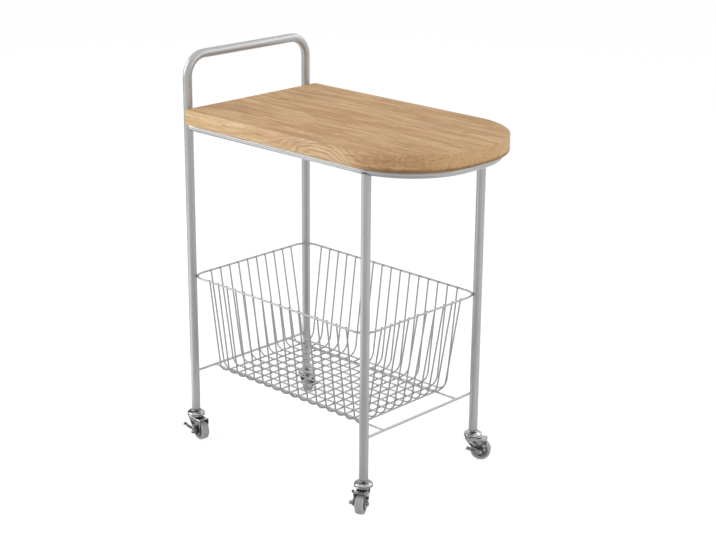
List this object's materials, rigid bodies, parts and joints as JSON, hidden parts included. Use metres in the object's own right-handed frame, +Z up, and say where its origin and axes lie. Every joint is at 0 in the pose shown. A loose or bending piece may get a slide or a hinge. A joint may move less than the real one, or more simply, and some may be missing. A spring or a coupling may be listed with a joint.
{
  "type": "kitchen storage cart",
  "caption": "Kitchen storage cart with a tubular steel frame and push handle, a thick wood worktop with a rounded end, a welded wire basket and swivel casters with side brakes.",
  "frame": {"origin": "on the floor, in the middle of the cart's footprint", "axes": "+X along the cart to the worktop's rounded end, +Y to the back, +Z up"},
  "size_m": [0.7841, 0.4842, 0.997],
  "materials": {
    "tube_paint": "satin silver grey",
    "wire_paint": "satin silver grey",
    "wood": "oiled pale oak",
    "caster_chrome": "bright plated",
    "steel_plated": "zinc plated",
    "tyre_grey": "pale grey, non-marking",
    "hub_plastic": "grey",
    "plug_plastic": "grey",
    "cam_black": "black"
  },
  "bodies": {
    "frame": {"handle_leg_tube": "tube_paint", "front_right_leg": "tube_paint", "back_right_leg": "tube_paint", "top_hoop": "tube_paint", "left_rail": "tube_paint", "left_cross_rod": "wire_paint", "right_cross_rod": "wire_paint", "front_floor_rod": "wire_paint", "back_floor_rod": "wire_paint", "worktop": "wood", "worktop_lugs": "tube_paint", "basket_rim": "wire_paint", "basket_cross_wires": "wire_paint", "basket_length_wires": "wire_paint", "front_left_plug": "plug_plastic", "front_left_nut": "steel_plated", "front_left_stem": "steel_plated", "front_left_upper_race": "caster_chrome", "front_right_plug": "plug_plastic", "front_right_nut": "steel_plated", "front_right_stem": "steel_plated", "front_right_upper_race": "caster_chrome", "back_left_plug": "plug_plastic", "back_left_nut": "steel_plated", "back_left_stem": "steel_plated", "back_left_upper_race": "caster_chrome", "back_right_plug": "plug_plastic", "back_right_nut": "steel_plated", "back_right_stem": "steel_plated", "back_right_upper_race": "caster_chrome"},
    "front_left_swivel": {"front_left_fork": "caster_chrome", "front_left_ball_ring": "steel_plated", "front_left_axle": "steel_plated"},
    "front_left_wheel": {"front_left_tyre": "tyre_grey", "front_left_hub": "hub_plastic"},
    "front_left_brake": {"front_left_brake_cam": "cam_black", "front_left_brake_lever": "steel_plated"},
    "front_right_swivel": {"front_right_fork": "caster_chrome", "front_right_ball_ring": "steel_plated", "front_right_axle": "steel_plated"},
    "front_right_wheel": {"front_right_tyre": "tyre_grey", "front_right_hub": "hub_plastic"},
    "front_right_brake": {"front_right_brake_cam": "cam_black", "front_right_brake_lever": "steel_plated"},
    "back_left_swivel": {"back_left_fork": "caster_chrome", "back_left_ball_ring": "steel_plated", "back_left_axle": "steel_plated"},
    "back_left_wheel": {"back_left_tyre": "tyre_grey", "back_left_hub": "hub_plastic"},
    "back_left_brake": {"back_left_brake_cam": "cam_black", "back_left_brake_lever": "steel_plated"},
    "back_right_swivel": {"back_right_fork": "caster_chrome", "back_right_ball_ring": "steel_plated", "back_right_axle": "steel_plated"},
    "back_right_wheel": {"back_right_tyre": "tyre_grey", "back_right_hub": "hub_plastic"},
    "back_right_brake": {"back_right_brake_cam": "cam_black", "back_right_brake_lever": "steel_plated"}
  },
  "joints": [
    {"name": "front_left_swivel_turn", "type": "hinge", "parent": "frame", "child": "front_left_swivel", "pos_m": [-0.362, -0.198, 0.057], "axis": [0, 0, 1], "continuous": true},
    {"name": "front_left_wheel_roll", "type": "hinge", "parent": "front_left_swivel", "child": "front_left_wheel", "pos_m": [-0.34118, -0.20074, 0.025], "axis": [0.1305, 0.9914, 0], "continuous": true},
    {"name": "front_left_brake_turn", "type": "hinge", "parent": "front_left_swivel", "child": "front_left_brake", "pos_m": [-0.34118, -0.20074, 0.025], "axis": [-0.1305, -0.9914, 0], "range_deg": [0, 35]},
    {"name": "front_right_swivel_turn", "type": "hinge", "parent": "frame", "child": "front_right_swivel", "pos_m": [0.228, -0.198, 0.057], "axis": [0, 0, 1], "continuous": true},
    {"name": "front_right_wheel_roll", "type": "hinge", "parent": "front_right_swivel", "child": "front_right_wheel", "pos_m": [0.23818, -0.21637, 0.025], "axis": [0.8746, 0.4848, 0], "continuous": true},
    {"name": "front_right_brake_turn", "type": "hinge", "parent": "front_right_swivel", "child": "front_right_brake", "pos_m": [0.23818, -0.21637, 0.025], "axis": [-0.8746, -0.4848, 0], "range_deg": [0, 35]},
    {"name": "back_left_swivel_turn", "type": "hinge", "parent": "frame", "child": "back_left_swivel", "pos_m": [-0.362, 0.198, 0.057], "axis": [0, 0, 1], "continuous": true},
    {"name": "back_left_wheel_roll", "type": "hinge", "parent": "back_left_swivel", "child": "back_left_wheel", "pos_m": [-0.37218, 0.21637, 0.025], "axis": [-0.8746, -0.4848, 0], "continuous": true},
    {"name": "back_left_brake_turn", "type": "hinge", "parent": "back_left_swivel", "child": "back_left_brake", "pos_m": [-0.37218, 0.21637, 0.025], "axis": [0.8746, 0.4848, 0], "range_deg": [0, 35]},
    {"name": "back_right_swivel_turn", "type": "hinge", "parent": "frame", "child": "back_right_swivel", "pos_m": [0.228, 0.198, 0.057], "axis": [0, 0, 1], "continuous": true},
    {"name": "back_right_wheel_roll", "type": "hinge", "parent": "back_right_swivel", "child": "back_right_wheel", "pos_m": [0.24541, 0.20974, 0.025], "axis": [-0.5592, 0.829, 0], "continuous": true},
    {"name": "back_right_brake_turn", "type": "hinge", "parent": "back_right_swivel", "child": "back_right_brake", "pos_m": [0.24541, 0.20974, 0.025], "axis": [0.5592, -0.829, 0], "range_deg": [0, 35]}
  ]
}
